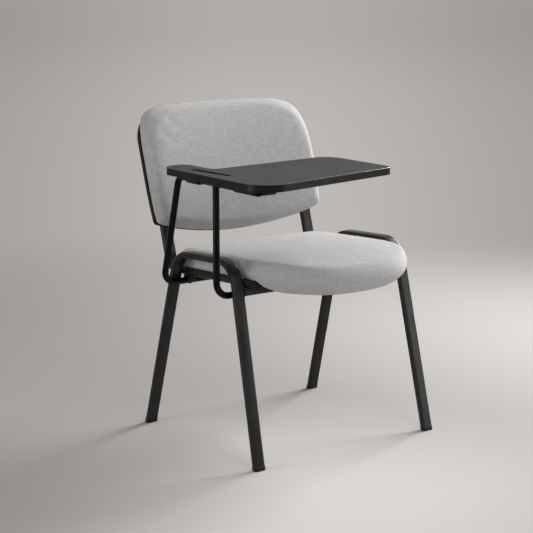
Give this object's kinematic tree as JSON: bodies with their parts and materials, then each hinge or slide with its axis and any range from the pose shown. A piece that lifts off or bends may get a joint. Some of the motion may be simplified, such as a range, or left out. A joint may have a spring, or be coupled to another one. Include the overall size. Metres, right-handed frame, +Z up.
{
  "type": "student desk chair",
  "caption": "Stackable tube-frame training chair with an upholstered seat and back, and a writing tablet that folds up on a bent round tube arm at the sitter's right.",
  "frame": {"origin": "on the floor, at the middle of the bounding box of the chair and its tablet", "axes": "+X to the sitter's left, +Y towards the back of the chair, so the sitter faces -Y, and +Z up"},
  "size_m": [0.6078, 0.6764, 0.7972],
  "materials": {
    "frame": "satin black powder coat",
    "plastic": "matte black, lightly grained",
    "cloth": "light grey heathered woven upholstery cloth over foam",
    "plywood": "raw plywood",
    "tablet": "dark grey, finely textured, satin on top",
    "rubber": "matte black"
  },
  "bodies": {
    "chair_frame": {"right_side_loop": "frame", "left_side_loop": "frame", "front_right_foot_cap": "plastic", "front_left_foot_cap": "plastic", "rear_right_foot_cap": "plastic", "rear_left_foot_cap": "plastic", "right_seat_rail_and_upright": "frame", "left_seat_rail_and_upright": "frame", "right_rail_plug": "plastic", "left_rail_plug": "plastic", "front_cross_tube": "frame", "rear_cross_tube": "frame", "seat_pan": "plastic", "seat_board": "plywood", "seat_cushion": "cloth", "back_shell": "plastic", "back_board": "plywood", "back_cushion": "cloth", "arm_main_tube": "frame", "arm_front_post": "frame", "run_end_plug": "plastic", "front_foot_plug": "plastic", "rear_foot_plug": "plastic", "front_right_arm_clamp": "plastic", "front_left_arm_clamp": "plastic", "rear_right_arm_clamp": "plastic", "rear_left_arm_clamp": "plastic", "stop_bar": "frame", "stop_buffer": "rubber"},
    "tablet": {"tablet_top": "tablet", "rear_hinge_saddle": "plastic", "front_hinge_block": "plastic"}
  },
  "joints": [
    {"name": "tablet_hinge", "type": "hinge", "parent": "chair_frame", "child": "tablet", "pos_m": [-0.2669, -0.1, 0.6583], "axis": [0, -1, 0], "range_deg": [0, 80]}
  ]
}
